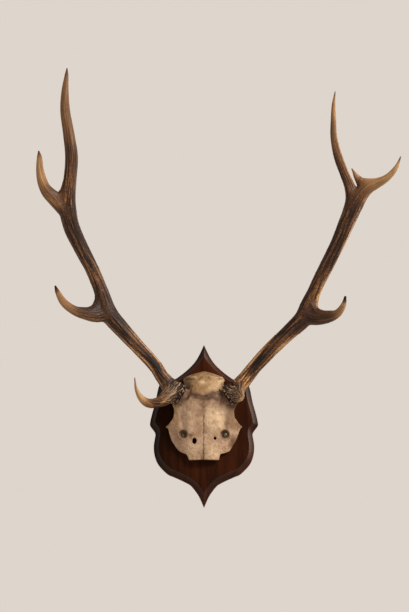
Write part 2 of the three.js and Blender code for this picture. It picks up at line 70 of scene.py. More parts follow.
# Hanging plate let into the shield's back
GAP = 0.3
PLATE_Z = 95
PLATE_LENGTH = 46
PLATE_WIDTH = 20
PLATE_THICKNESS = 1.6
PLATE_EDGE = 0.25
KEYHOLE_RADIUS = 5
KEYHOLE_DROP = 7
KEYHOLE_SLOT = 5
KEYHOLE_RISE = 15
POCKET_WIDTH = 14
POCKET_LENGTH = 28
POCKET_DEPTH = 13
PLATE_SCREW_PLACES = (PLATE_Z + 18.5, PLATE_Z - 18.5)
PLATE_SCREW_HEAD = 3.4
PLATE_SCREW_RADIUS = 1.5
PLATE_SCREW_LENGTH = 14

# Screws through the bone into the wood
SCREW_X = 41.2
SCREW_Z = -25.5
SCREW_HEAD_RADIUS = 4.6
SCREW_HEAD_HEIGHT = 2.6
SCREW_SHANK_RADIUS = 2.2
SCREW_DEPTH_IN_WOOD = 14
CROSS_SLOT = np.array([3.1, 1.6, 0.6])
SOCKET_RADIUS = 7.8
SOCKET_FLOOR = 19.5
BOSS_RADIUS = 11

# Skull: bone thickness over the face and over the braincase, and of the eye sockets' inner walls
FACE_BONE = 7
BRAINCASE_BONE = 6
SOCKET_WALL = 4
PEDICLE_RADIUS = 16
SKULL_VOXEL = 1.0

# Rows of the skull from the sawn nose end up to the nape. Each is: z, half-width on the left and
# on the right, smooth half-width that the vault follows, height above the shield's face in the
# middle and at that half-width, and how boxy the vault is
SKULL_ROWS = [
    [-74, 30, 30, 31, 17, 10.5, 2.2],
    [-68, 32.5, 31, 34, 18.5, 10.5, 2.2],
    [-63, 35, 32, 38, 20, 9.5, 2.3],
    [-60.5, 40.5, 40, 41, 21, 8.5, 2.3],
    [-56, 49, 50, 48, 22.5, 8, 2.4],
    [-45, 58, 57.5, 57, 25.5, 8, 2.4],
    [-34, 64.5, 64, 64, 28.5, 9.5, 2.5],
    [-23, 68.5, 68, 68, 32, 12, 2.6],
    [-12, 71.5, 72.5, 69, 35.5, 16, 2.6],
    [-8.5, 76.5, 76, 69, 36.5, 17.5, 2.6],
    [-4, 70, 70, 68.5, 38, 19.5, 2.6],
    [3, 64.5, 64, 66, 40, 22, 2.5],
    [10, 60.5, 60.5, 63.5, 42.5, 25, 2.4],
    [22, 59.4, 60, 62, 46, 28.5, 2.3],
    [34, 63, 64.5, 63, 50, 30.5, 2.2],
    [44, 63, 64, 62, 52.5, 30, 2.2],
    [50, 56, 56, 57, 52.5, 28, 2.4],
    [54, 49, 49, 50, 49.5, 22, 2.8],
    [60, 41, 40, 41, 47.5, 8, 3.2],
    [68, 39.4, 38.3, 39, 44, 0, 3.4],
    [77, 40, 39, 39.5, 39, 0, 3.4],
    [84, 41, 40.5, 41, 34.5, 0, 3.2],
    [89, 41, 41, 41, 30, 0, 3],
    [93, 39.5, 38.8, 39.2, 26, 0, 2.8],
    [97, 32.5, 33, 33, 21.5, 0, 2.6],
    [100.5, 22, 24, 23, 17, 0, 2.4],
    [103, 13, 15, 14, 12.5, 0, 2.2],
    [105, 5, 6, 5.5, 7, 0, 2.2],
]

# Inner wall of each eye socket, from the nose up to the braincase: half-width, z
SOCKET_WALL_LINE = [
    [41, -52], [35, -38], [29, -20],
    [26, 0], [27.5, 18], [31.5, 36],
    [36.5, 56], [36, 72],
]

# Light patches of the face, partly paler bone and partly painted highlights on the right side and along
# the crest: x, z, reach, how many times wider than high, and how strong
PALE_AND_HIGHLIGHT_PATCHES = [
    [22, 2, 19, 0.85, 0.95], [20, -60, 15, 1, 0.8], [34, 80, 9, 1, 0.6], [49, -57, 5, 1, 0.9],
    [-30, 6, 20, 1, 0.4], [-24, -54, 20, 1, 0.6], [22, 64, 13, 1, 0.3], [-2, 76, 7, 1.6, 0.7],
]

# A rusty patch, a dark one and the raised corners of the nape, in the same way
RUSTY_PATCH = [[-26, -28, 5, 1.4, 1]]
DARK_PATCH = [[-37, 47, 8, 1, 0.45]]
NAPE_EARS = [[38, 87, 4.4, 1, 1]]

# Antler routes. Each station is x, y, z and radius
LEFT_BEAM = [
    [-51, -58.5, 54, 18], [-66, -62, 67.5, 16.5], [-81.5, -67, 84.5, 14.2],
    [-95, -72, 105, 13.6], [-127, -82, 139, 14], [-159, -92, 173, 15.6],
    [-188, -102, 207, 17.3], [-202, -113, 247, 14.2], [-220, -126, 289, 13.7],
    [-242, -143, 329, 14.7], [-260, -163, 367, 16.2], [-266, -181, 400, 16.2],
    [-264, -193, 424, 14.2], [-260, -204, 457, 12.6], [-258, -215, 492, 12.5],
    [-263, -227, 533, 11.2], [-270, -241, 578, 9.6], [-270, -252, 614, 6.9],
    [-267, -261, 643, 3.8], [-266, -266, 656, 1.2],
]
LEFT_BROW = [
    [-60, -63, 64, 15.5], [-73, -80, 43, 13.5], [-86, -98, 30, 10.4],
    [-106, -130, 20.5, 8.9], [-119, -153, 25, 6.6], [-128, -173, 38, 3.3],
    [-131, -190, 58, 1.1],
]
LEFT_TRAY = [
    [-189, -103, 209, 15], [-208, -112, 200, 14.3], [-231, -127, 198, 11.3],
    [-253, -145, 201.5, 8.9], [-271, -163, 212, 7.4], [-282, -178, 229, 4.8],
    [-286, -186, 239, 1.8],
]
LEFT_OUTER = [
    [-263, -173, 385, 10.5], [-276, -184, 396, 12.5], [-292, -196, 410, 12],
    [-305, -206, 423, 11], [-313, -217, 440, 9.7], [-317, -230, 460, 7.3],
    [-317, -243, 480, 5], [-318, -250, 491, 1.4],
]
RIGHT_BEAM = [
    [52, -58.5, 52, 18], [66, -62, 65.5, 17], [81, -65, 82, 14.6],
    [101, -72, 106, 14], [134, -82, 140, 14.8], [169, -92, 172, 15.7],
    [193, -101, 194, 17.5], [206, -108, 222, 15.8], [221, -118, 256, 13.4],
    [242, -133, 297, 13.9], [263, -150, 337, 14.2], [281, -170, 377, 15.8],
    [294, -184, 405, 17.2], [306, -193, 422, 14.8], [319, -203, 432.5, 12.4],
    [333, -212, 437, 10.1], [353, -226, 444, 7.1], [369, -238, 459, 4.6],
    [379, -246, 481, 1.1],
]
RIGHT_STUB = [
    [55, -59, 57, 14], [63, -68, 50, 13], [68, -75, 46, 12],
    [71.5, -80, 43.5, 9], [73.5, -83, 42, 4.5],
]
RIGHT_TRAY = [
    [196, -102, 205, 15], [214, -112, 195, 14.8], [238, -129, 190, 11.1],
    [258, -148, 193.5, 8], [269, -166, 206, 5.4], [272, -178, 220, 2.3],
]
RIGHT_INNER = [
    [290, -181, 396, 12.5], [289, -188, 420, 12.6], [283, -195, 440, 10.2],
    [273, -205, 461, 9], [260, -219, 492, 8.3], [252, -233, 525, 6.6],
    [251, -245, 556, 5.4], [251, -255, 584, 3.5], [254, -263, 609, 1],
]
RIGHT_BACK = [
    [317, -197, 425, 9], [307, -198, 442, 8], [298, -203, 454, 5.8],
    [287, -212, 469, 1.1],
]

# Burr centres and the way each one faces, up along its antler
LEFT_BURR = (np.array([-50, -58, 53.0]), np.array([-0.85, -0.25, 0.46]))
RIGHT_BURR = (np.array([51, -58, 51.0]), np.array([0.85, -0.25, 0.46]))
BURR_BELOW = 5

# Rows of pearls round a burr: how many, distance from its middle, height along it and radius
BURR_ROWS = [[23, 20.8, -2.4, 2.5], [17, 20.0, 2.4, 2.9], [13, 18.6, 7.0, 2.8]]

# Body of each burr as heights along its antler and radii, the ring that its skin follows,
# and where the antler's foot ends
BURR_DISC = [(-BURR_BELOW, 17), (0, 20.5), (8, 18.5)]
BURR_RING_RADIUS = 14.5
BURR_RING_HEIGHT = 0.5
BURR_RING_SIZE = 5
BURR_FOOT = 0.3 - BURR_BELOW

# Antler skin: length of a step along a route, remeshing grain, and how far forks fill in
ROUTE_STEP = 1.5
ANTLER_VOXEL = 1.25
FORK_FILL = 2.6
ROOT_FLATNESS = 3
SKIN_MIX = 6
SKIN_RADIUS = 14
SETTLING_ROUNDS = 4
POINTS_AT_ONCE = 20000

# Antler that rounds off the inner corners of four forks, in the same way
LEFT_TRAY_WEB = [
    [-203, -113, 240, 8], [-209, -116, 224, 8], [-214, -119, 213, 8],
    [-224, -124, 205, 8], [-238, -133, 202, 7],
]
LEFT_OUTER_WEB = [
    [-266, -197, 438, 8], [-273, -196, 425, 8], [-283.5, -197, 416.5, 8],
    [-300, -204, 424, 8],
]
RIGHT_BACK_WEB = [
    [304, -203, 447, 4.8], [309, -202, 445.5, 5.6], [315, -203, 444.5, 6.5],
    [327, -208, 441, 7],
]
RIGHT_TRAY_WEB = [
    [209, -111, 234, 9], [213, -113, 220, 9], [219, -117, 206.5, 8.5],
    [231, -124, 198, 8], [246, -136, 194, 7.5],
]

# How rough and how pale the antler is, by share of its length
BEAM_ROUGH = [[0, 1], [0.55, 0.9], [0.75, 0.6], [0.88, 0.25], [1, 0.05]]
TINE_ROUGH = [[0, 0.9], [0.3, 0.7], [0.55, 0.35], [0.8, 0.12], [1, 0]]
ROUGH_ALL_ALONG = [[0, 1], [1, 1]]
LEFT_BEAM_PALE = [[0, 0], [0.62, 0], [0.74, 0.15], [0.86, 0.5], [1, 0.5]]
RIGHT_BEAM_PALE = [[0, 0], [0.73, 0], [0.8, 0.3], [0.87, 0.72], [0.93, 0.9], [1, 0.95]]
TRAY_PALE = [[0, 0.05], [0.22, 0.12], [0.45, 0.38], [0.7, 0.8], [1, 1]]
RIGHT_TRAY_PALE = [[0, 0.15], [0.22, 0.32], [0.45, 0.5], [0.7, 0.8], [1, 1]]
BROW_PALE = [[0, 0], [0.46, 0.03], [0.6, 0.35], [0.73, 1], [1, 1.05]]
OUTER_PALE = [[0, 0.3], [0.2, 0.5], [0.45, 0.7], [0.65, 0.95], [1, 0.95]]
INNER_PALE = [[0, 0.05], [0.3, 0.1], [0.5, 0.4], [0.8, 0.64], [1, 0.7]]
NOT_PALE = [[0, 0], [1, 0]]

# Places worn paler or left dull: middle, reach and how much
WORN_PLACES = [
    [[80, -80, 76], 24, 0.6],
    [[-268, -195, 412], 26, 0.3],
    [[-97, -112, 25], 30, -0.4],
]

# Pale end of the broken tine: middle and reach
BROKEN_END = [[75, -78, 35], 8]

# Large numbers that scatter the values of neighbouring cells
CELL_FACTORS = (73856093, 19349663, 83492791)
SEED_FACTOR = 2654435
MIXING_FACTOR = 1274126177


# Numbers over many points at once

def rise(value, low, high):
    """0 below low and 1 above high, with a smooth step between."""
    share = np.clip((value - low) / (high - low), 0, 1)
    return share * share * (3 - 2 * share)


def fade(value, low, high):
    return 1 - rise(value, low, high)


def bump(distance, reach):
    return np.exp(-(distance / reach) ** 2)


def size(vectors):
    return np.linalg.norm(vectors, axis=-1)


def unit(vectors):
    return vectors / size(vectors)[..., None]


def near(points, place, reach):
    return bump(size(points - np.array(place)), reach)


def cell_value(cells, seed):
    """A fixed scattered value from -1 to 1 for each whole-number cell."""
    mixed = seed * SEED_FACTOR
    for axis, factor in enumerate(CELL_FACTORS):
        mixed = mixed ^ (cells[..., axis] * factor)
    mixed = (mixed ^ (mixed >> 13)) * MIXING_FACTOR
    mixed = (mixed ^ (mixed >> 16)) & 0xFFFF
    return mixed / 32767.5 - 1


def soft_noise(points, seed=0):
    """Smooth noise from -1 to 1 with features about one unit wide."""
    cells = np.floor(points).astype(np.int64)
    inside = points - cells
    inside = inside * inside * (3 - 2 * inside)
    total = 0
    for corner in np.ndindex(2, 2, 2):
        corner = np.array(corner)
        share = np.prod(np.where(corner == 1, inside, 1 - inside), axis=1)
        total = total + share * cell_value(cells + corner, seed)
    return total


def layered_noise(points, octaves, seed=0):
    total = sum(soft_noise(points * 2 ** k, seed + k) / 2 ** k for k in range(octaves))
    return total / (2 - 2 ** (1 - octaves))


def line_noise(place, seed):
    return soft_noise(np.stack([place, 0 * place, 0 * place], axis=1), seed)


def hermite(u, start, end, leave, arrive):
    return (
        (2 * u ** 3 - 3 * u ** 2 + 1) * start
        + (u ** 3 - 2 * u ** 2 + u) * leave
        + (3 * u ** 2 - 2 * u ** 3) * end
        + (u ** 3 - u ** 2) * arrive
    )


def carried_on(points):
    """The points with one more in line beyond each end."""
    return np.vstack([2 * points[0] - points[1], points, 2 * points[-1] - points[-2]])


def steady_curve(rows, x):
    """Smooth columns through rows that start with x, with no overshoot between two rows."""
    table = np.array(rows, float)
    knots, values = table[:, 0], table[:, 1:]
    spans = np.diff(knots)
    rises = np.diff(values, axis=0) / spans[:, None]
    before, after = rises[:-1], rises[1:]
    product = before * after
    inner = np.where(product > 0, 2 * product / np.where(product > 0, before + after, 1), 0)
    slopes = np.vstack([rises[:1], inner, rises[-1:]])
    x = np.clip(np.asarray(x, float), knots[0], knots[-1])
    row = np.clip(np.searchsorted(knots, x) - 1, 0, len(spans) - 1)
    span = spans[row][:, None]
    u = ((x - knots[row]) / spans[row])[:, None]
    return hermite(u, values[row], values[row + 1], slopes[row] * span, slopes[row + 1] * span)


# Meshes

def in_scene(name, data):
    made = bpy.data.objects.new(name, data)
    bpy.context.scene.collection.objects.link(made)
    return made


def mesh_object(name, points, faces):
    mesh = bpy.data.meshes.new(name)
    mesh.from_pydata((np.asarray(points, float) * MM).tolist(), [], [list(f) for f in faces])
    mesh.update()
    return in_scene(name, mesh)


def rings_to_mesh(name, rings):
    """A closed skin over rings of points, each end filled by a fan from the ring's middle."""
    count = len(rings[0])
    points = [point for ring in rings for point in ring]
    faces = []
    for start in range(0, len(points) - count, count):
        for k in range(count):
            low, high = start + k, start + (k + 1) % count
            faces.append((low, high, high + count, low + count))
    for start in (0, len(points) - count):
        faces += [(start + k, start + (k + 1) % count, len(points)) for k in range(count)]
        points.append(np.mean(points[start:start + count], axis=0))
    made = mesh_object(name, points, faces)
    shape = bmesh.new()
    shape.from_mesh(made.data)
    bmesh.ops.recalc_face_normals(shape, faces=shape.faces)
    shape.to_mesh(made.data)
    shape.free()
    return made


def modify(made, kind, **settings):
    """Work one modifier into the mesh."""
    modifier = made.modifiers.new(kind, kind)
    for key, value in settings.items():
        setattr(modifier, key, value)
    graph = bpy.context.evaluated_depsgraph_get()
    mesh = bpy.data.meshes.new_from_object(made.evaluated_get(graph))
    made.modifiers.clear()
    made.data = mesh
    return made


def join(name, parts):
    shape = bmesh.new()
    for part in parts:
        shape.from_mesh(part.data)
        bpy.data.objects.remove(part)
    mesh = bpy.data.meshes.new(name)
    shape.to_mesh(mesh)
    shape.free()
    return in_scene(name, mesh)


def melt(made, voxel):
    """One continuous skin of even quads over everything in the mesh."""
    return modify(made, "REMESH", mode="VOXEL", voxel_size=voxel * MM)


def cut(made, cutters):
    for cutter in cutters:
        modify(made, "BOOLEAN", operation="DIFFERENCE", solver="EXACT", object=cutter)
        bpy.data.objects.remove(cutter)


def read_vectors(items, field):
    flat = np.empty(len(items) * 3, np.float32)
    items.foreach_get(field, flat)
    return flat.reshape(-1, 3).astype(float)


def points_of(made):
    return read_vectors(made.data.vertices, "co") / MM


def normals_of(made):
    return read_vectors(made.data.vertex_normals, "vector")


def move_points(made, points):
    made.data.vertices.foreach_set("co", (points * MM).astype(np.float32).ravel())
    made.data.update()


def keep(made, name, values):
    """Store a number or a vector for each point, which the material reads by this name."""
    kind, field = ("FLOAT", "value") if values.ndim == 1 else ("FLOAT_VECTOR", "vector")
    attribute = made.data.attributes.new(name, kind, "POINT")
    attribute.data.foreach_set(field, values.astype(np.float32).ravel())


def circle(radius, x, z, y, sides):
    turns = np.arange(sides) * 2 * math.pi / sides
    return [(x + radius * math.cos(a), y, z + radius * math.sin(a)) for a in turns]


def round_bar(name, radius, x, z, y_back, y_front, sides=40):
    return rings_to_mesh(name, [circle(radius, x, z, y, sides) for y in (y_back, y_front)])


def turned(name, profile, x, y, z, sides=48):
    """A body turned about an axis along Y, from a profile of radius and place along Y."""
    rings = [circle(max(radius, 0.01), x, z, y + depth, sides) for radius, depth in profile]
    return rings_to_mesh(name, rings)


def block(name, low, high):
    (x0, y0, z0), (x1, y1, z1) = low, high
    return rings_to_mesh(name, [[(x0, y, z0), (x1, y, z0), (x1, y, z1), (x0, y, z1)] for y in (y0, y1)])


# Materials

def colour(red, green, blue):
    """A colour given as it looks on a screen, 0 to 255."""
    values = [channel / 255 for channel in (red, green, blue)]
    return tuple(v / 12.92 if v < 0.04045 else ((v + 0.055) / 1.055) ** 2.4 for v in values) + (1,)


class Material:
    """A node material: each method adds nodes and returns the socket that they give."""

    def __init__(self, name, **settings):
        self.made = bpy.data.materials.new(name)
        self.made.use_nodes = True
        self.tree = self.made.node_tree
        self.shader = self.tree.nodes["Principled BSDF"]
        self.fill(self.shader, **settings)

    def plug(self, socket, value):
        if isinstance(value, bpy.types.NodeSocket):
            self.tree.links.new(value, socket)
        else:
            socket.default_value = value

    def fill(self, node, **inputs):
        for key, value in inputs.items():
            self.plug(node.inputs[key.replace("_", " ")], value)
        return node

    def node(self, kind, **inputs):
        return self.fill(self.tree.nodes.new("ShaderNode" + kind), **inputs)

    def scaled(self, vector, stretch):
        return self.node("Mapping", Vector=vector, Scale=stretch).outputs["Vector"]

    def place(self, stretch=(1, 1, 1)):
        return self.scaled(self.node("TexCoord").outputs["Object"], stretch)

    def attribute(self, name, output="Fac"):
        node = self.node("Attribute")
        node.attribute_name = name
        return node.outputs[output]

    def noise(self, vector, scale, detail=3.0, roughness=0.5, distortion=0.0):
        node = self.node("TexNoise", Vector=vector, Scale=scale, Detail=detail)
        return self.fill(node, Roughness=roughness, Distortion=distortion).outputs["Fac"]

    def spread(self, value, low, high, to_low=0.0, to_high=1.0):
        node = self.node("MapRange", Value=value, From_Min=low, From_Max=high)
        return self.fill(node, To_Min=to_low, To_Max=to_high).outputs["Result"]

    def strands(self, vector, along, scale, low, high):
        """Noise drawn out along Z, with its middle values spread apart."""
        return self.spread(self.noise(self.scaled(vector, (1, 1, along)), scale, 2), low, high)

    def total(self, *terms):
        """The sum of some values, each times its share."""
        found = 0
        for value, share in terms:
            node = self.node("Math")
            node.operation = "MULTIPLY_ADD"
            for socket, number in zip(node.inputs, (value, share, found)):
                self.plug(socket, number)
            found = node.outputs["Value"]
        return found

    def mix_values(self, share, first, second):
        return self.node("Mix", Factor=share, A=first, B=second).outputs["Result"]

    def mix(self, share, first, second):
        return self.node("MixRGB", Fac=share, Color1=first, Color2=second).outputs["Color"]

    def layered(self, base, layers):
        """The base with colours laid over it, each by its share."""
        for share, *shade in layers:
            base = self.mix(share, base, colour(*shade))
        return base

    def ramp(self, value, stops):
        node = self.node("ValToRGB", Fac=value)
        while len(node.color_ramp.elements) < len(stops):
            node.color_ramp.elements.new(0.5)
        for element, (place, *shade) in zip(node.color_ramp.elements, stops):
            element.position = place
            element.color = colour(*shade)
        return node.outputs["Color"]

    def bump(self, height, distance):
        return self.node("Bump", Height=height, Distance=distance * MM).outputs["Normal"]

    def finish(self, base, roughness, normal):
        self.fill(self.shader, Base_Color=base, Roughness=roughness, Normal=normal)
        return self.made


def wood_material():
    look = Material("mahogany", Specular_IOR_Level=0.11, Specular_Tint=(1, 0.7, 0.48, 1))
    grain_place = look.place((1, 1, 0.09))
    figure = look.noise(grain_place, 45, 4, 0.55, 0.6)
    streaks = look.noise(grain_place, 260, 4, 0.6)
    pores = look.noise(look.place((1, 1, 0.05)), 1500, 2, 0.6)
    cloud = look.noise(look.place(), 14, 2)
    place = look.node("SeparateXYZ", Vector=look.place()).outputs
    # Painted shade: the board is darkened towards its left side, above its lower point
    painted_shade_left = look.spread(place["X"], -0.03, -0.08, 0, 0.75)
    above_foot = look.spread(place["Z"], -0.125, -0.08)
    base = look.mix(look.spread(figure, 0.32, 0.68), colour(32, 10, 4), colour(72, 31, 11))
    base = look.layered(base, [
        (look.spread(streaks, 0.45, 0.75, 0, 0.35), 32, 9, 4),
        (look.spread(pores, 0.6, 0.72, 0, 0.7), 14, 5, 3),
        (look.spread(cloud, 0.4, 0.7, 0, 0.35), 30, 10, 5),
        # painted shade over the left side of the board
        (look.total((painted_shade_left, above_foot)), 16, 4, 2),
    ])
    roughness = look.spread(streaks, 0.3, 0.8, 0.36, 0.52)
    return look.finish(base, roughness, look.bump(look.total((streaks, 0.4), (pores, 0.6)), 0.12))


def bone_material():
    look = Material("bone", Specular_IOR_Level=0.35)
    place = look.place()
    clouds = look.noise(place, 34, 4, 0.6)
    mottle = look.noise(place, 130, 5, 0.65)
    specks = look.noise(place, 620, 3, 0.6)
    # Stains of the bone together with painted shade, laid darker over the colour below
    stain_and_shade = look.total((look.attribute("stain_and_shade"), look.spread(mottle, 0.25, 0.7, 0.7, 1.0)))
    base = look.mix(look.spread(clouds, 0.4, 0.6), colour(163, 129, 105), colour(198, 166, 137))
    base = look.layered(base, [
        (look.attribute("warm"), 164, 128, 80),
        # paler bone and painted highlights
        (look.attribute("pale"), 236, 206, 168),
        (look.spread(mottle, 0.49, 0.68, 0, 0.6), 150, 106, 72),
        (stain_and_shade, 72, 41, 20),
        (look.spread(specks, 0.6, 0.72, 0, 0.5), 104, 74, 50),
    ])
    roughness = look.spread(mottle, 0.3, 0.7, 0.5, 0.68)
    return look.finish(base, roughness, look.bump(look.total((mottle, 0.5), (specks, 0.25)), 1))


def antler_material():
    look = Material("antler", Specular_IOR_Level=0.28)
    flow = look.attribute("flow", "Vector")
    burr_flow = look.attribute("burr_flow", "Vector")
    relief, polish_and_sheen, pale, grey, tip, clear = (
        look.attribute(name) for name in ("relief", "polish_and_sheen", "pale", "grey", "tip", "clear")
    )
    lines = look.mix_values(clear, 0.5, look.strands(flow, 0.055, 310, 0.42, 0.58))
    fine = look.mix_values(clear, 0.5, look.strands(flow, 0.08, 1300, 0.3, 0.7))
    threads = look.strands(burr_flow, 0.12, 640, 0.43, 0.57)
    specks = look.spread(look.noise(look.place(), 320, 3, 0.6), 0.4, 0.58)
    crest = look.total((relief, 0.4), (lines, 0.37), (fine, 0.06), (specks, 0.16))
    # Wear and painted sheen lift the colour of the skin
    dark = look.ramp(look.total((crest, look.spread(polish_and_sheen, 0, 1, 0.58, 1.3))), [
        (0.16, 20, 10, 5),
        (0.34, 56, 32, 18),
        (0.5, 96, 62, 36),
        (0.68, 152, 108, 66),
        (0.9, 212, 166, 112),
    ])
    ivory = look.ramp(look.total((pale, 0.6), (crest, 0.45), (polish_and_sheen, 0.18)), [
        (0.24, 76, 46, 28),
        (0.5, 120, 83, 53),
        (0.77, 158, 118, 78),
        (1, 200, 161, 116),
    ])
    # Burr colour: near black where the relief is low, as painted shade between the rim's pearls, up to
    # light pearl tops, partly painted highlights
    foot = look.ramp(look.total((relief, look.spread(threads, 0, 1, 0.4, 1)), (threads, 0.12)), [
        (0.22, 18, 10, 6),
        (0.44, 60, 42, 30),
        (0.74, 166, 136, 108),
    ])
    base = look.mix(grey, look.mix(look.spread(pale, 0.05, 0.7), dark, ivory), foot)
    base = look.layered(base, [
        (look.spread(tip, 0, 0.5), 104, 62, 38),
        (look.spread(tip, 0.5, 1), 26, 15, 10),
    ])
    roughness = look.spread(crest, 0.2, 0.8, 0.62, 0.4)
    detail = look.total((fine, 0.35), (lines, 0.65), (threads, grey))
    return look.finish(base, roughness, look.bump(detail, 0.5))


def steel_material(name, shade, dull):
    look = Material(name, Metallic=0.9)
    blotch = look.noise(look.place(), 380, 4, 0.6)
    scratch = look.noise(look.place((1, 1, 0.1)), 2600, 2)
    base = look.mix(look.spread(blotch, 0.42, 0.7), shade, dull)
    roughness = look.spread(blotch, 0.3, 0.7, 0.34, 0.6)
    return look.finish(base, roughness, look.bump(scratch, 0.05))


def floor_material():
    glow = colour(214, 205, 196)
    look = Material("floor", Specular_IOR_Level=0.2, Emission_Color=glow, Emission_Strength=0.5)
    base = look.mix(look.noise(look.place(), 1.3, 2), colour(206, 198, 188), colour(222, 215, 206))
    return look.finish(base, 0.9, look.bump(look.noise(look.place(), 60, 2), 0.2))


def put_on(made, material, replaced, sharp_degrees=None):
    """Shade and dress a finished piece, hang it on the root body, and hide the solids it stands for."""
    made.data.shade_smooth()
    if sharp_degrees:
        made.data.set_sharp_from_angle(angle=math.radians(sharp_degrees))
    made.data.materials.clear()
    made.data.materials.append(material)
    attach(made, "root")
    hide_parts(*replaced)


# Shield

def shield_outline():
    """Points of one half of the shield, smooth between its corners: outer x and z, inner x and z."""
    table = np.array(SHIELD_HALF, float)
    found = []
    for start, end in zip(SHIELD_CORNERS, SHIELD_CORNERS[1:]):
        part = table[start:end + 1]
        longer = carried_on(part)
        for i in range(len(part) - 1):
            before, low, high, after = longer[i:i + 4]
            u = (np.arange(OUTLINE_STEPS) / OUTLINE_STEPS)[:, None]
            found.append(hermite(u, low, high, (high - before) / 2, (after - low) / 2))
    return np.vstack([*found, table[-1:]])


def shield_board():
    half = shield_outline()
    outline = np.vstack([half, half[1:-1][::-1] * np.array([-1, 1, -1, 1])])
    slope = SHIELD_THICKNESS - SHIELD_EDGE
    levels = [(0.07, 0), (0, EDGE_ROUND), (0, SHIELD_EDGE - EDGE_ROUND), (0.02, SHIELD_EDGE)]
    levels.append((0.06, SHIELD_EDGE + 0.8))
    for share in np.linspace(0.12, 0.96, 12):
        levels.append((share, SHIELD_EDGE + slope * share - SLOPE_HOLLOW * math.sin(math.pi * share)))
    levels += [(0.985, SHIELD_THICKNESS - 0.15), (1.03, SHIELD_THICKNESS)]
    rings = []
    for share, height in levels:
        flat = outline[:, :2] * (1 - share) + outline[:, 2:] * share
        rings.append([(x, -height, z) for x, z in flat])
    front = rings[-1]
    for shrink in (0.9, 0.7, 0.45, 0.2):
        rings.append([(x * shrink, y, z * shrink) for x, y, z in front])
    return rings_to_mesh("shield_wood", rings)


def slab(name, width, length, y_back, y_front, sides=32):
    """An upright plate with round ends, centred on the hanging plate."""
    half = width / 2
    straight = length / 2 - half
    flat = [(half * math.cos(a), half * math.sin(a)) for a in np.linspace(0, math.pi, sides)]
    loop = [(x, z + straight) for x, z in flat] + [(-x, -z - straight) for x, z in flat]
    return rings_to_mesh(name, [[(x, y, PLATE_Z + z) for x, z in loop] for y in (y_back, y_front)])


def make_shield():
    board = shield_board()
    cutters = [
        slab("recess", PLATE_WIDTH + 2 * GAP, PLATE_LENGTH + 2 * GAP, 1, -PLATE_THICKNESS - 2 * GAP),
        slab("pocket", POCKET_WIDTH, POCKET_LENGTH, 1, -POCKET_DEPTH),
    ]
    for z in PLATE_SCREW_PLACES:
        cutters.append(round_bar("hole", PLATE_SCREW_RADIUS + 0.5, 0, z, 0, -PLATE_SCREW_LENGTH - 1))
    radius = SCREW_SHANK_RADIUS + 0.4
    back = SHIELD_FACE + SCREW_DEPTH_IN_WOOD + 1
    for x in (-SCREW_X, SCREW_X):
        cutters.append(round_bar("hole", radius, x, SCREW_Z, back, SHIELD_FACE - 1))
    cut(board, cutters)
    put_on(board, wood_material(), ["shield"], 35)


def make_hanger():
    plate = slab("hanging_plate", PLATE_WIDTH, PLATE_LENGTH, -GAP, -GAP - PLATE_THICKNESS, 48)
    low = PLATE_Z - KEYHOLE_DROP
    top = low + KEYHOLE_RISE
    half_slot = KEYHOLE_SLOT / 2
    cutters = [
        round_bar("entry", KEYHOLE_RADIUS, 0, low, 1, -4, 64),
        block("way", (-half_slot, -4, low), (half_slot, 1, top)),
        round_bar("seat", half_slot, 0, top, 1, -4, 48),
    ]
    outer = PLATE_SCREW_HEAD + 4 * GAP
    for z in PLATE_SCREW_PLACES:
        cutters.append(turned("sink", [(outer - 3, -3 + GAP), (outer, GAP)], 0, 0, z))
    cut(plate, cutters)
    corner = math.radians(40)
    modify(plate, "BEVEL", width=PLATE_EDGE * MM, segments=2, limit_method="ANGLE", angle_limit=corner)
    steel = steel_material("zinc", colour(170, 168, 160), colour(120, 116, 106))
    put_on(plate, steel, ["hanger_plate"], 30)
    head = PLATE_SCREW_HEAD
    shank = PLATE_SCREW_RADIUS
    end = -PLATE_SCREW_LENGTH
    profile = [(0, end), (0.8, end + 1.5), (shank, end + 4), (shank, shank - head)]
    profile += [(head - 0.1, -0.25), (head - 0.2, 0)]
    for name, z in zip(("top", "bottom"), PLATE_SCREW_PLACES):
        screw = turned("plate_screw_" + name, profile, 0, -GAP, z)
        cut(screw, [block("slot", (-head - 1, -GAP - 1, z - 0.5), (head + 1, 1, z + 0.5))])
        put_on(screw, steel, ["hanger_screw_" + name], 30)


# Screws in the bone

def make_skull_screws():
    steel = steel_material("screw_steel", colour(132, 122, 94), colour(78, 68, 48))
    seat = SHIELD_FACE - SOCKET_FLOOR - GAP
    shank = SCREW_SHANK_RADIUS
    head = SCREW_HEAD_RADIUS
    length = SOCKET_FLOOR + SCREW_DEPTH_IN_WOOD
    profile = [(0, length), (shank * 0.45, length - 1), (shank, length - 5), (shank, 0), (head, 0)]
    for angle in np.linspace(0.25, 1.45, 9):
        profile.append((head * math.cos(angle), -SCREW_HEAD_HEIGHT * math.sin(angle)))
    for side, name in ((-1, "left"), (1, "right")):
        screw = turned(name + "_bone_screw", profile, side * SCREW_X, seat, SCREW_Z)
        cutters = []
        for turn in (0, math.pi / 2):
            slot = block("slot", -CROSS_SLOT, CROSS_SLOT)
            slot.rotation_euler = (0, 0.6 + side * 0.3 + turn, 0)
            slot.location = Vector((side * SCREW_X, seat - SCREW_HEAD_HEIGHT, SCREW_Z)) * MM
            cutters.append(slot)
        bpy.context.view_layer.update()
        cut(screw, cutters)
        put_on(screw, steel, [name + "_screw"], 30)


# Skull

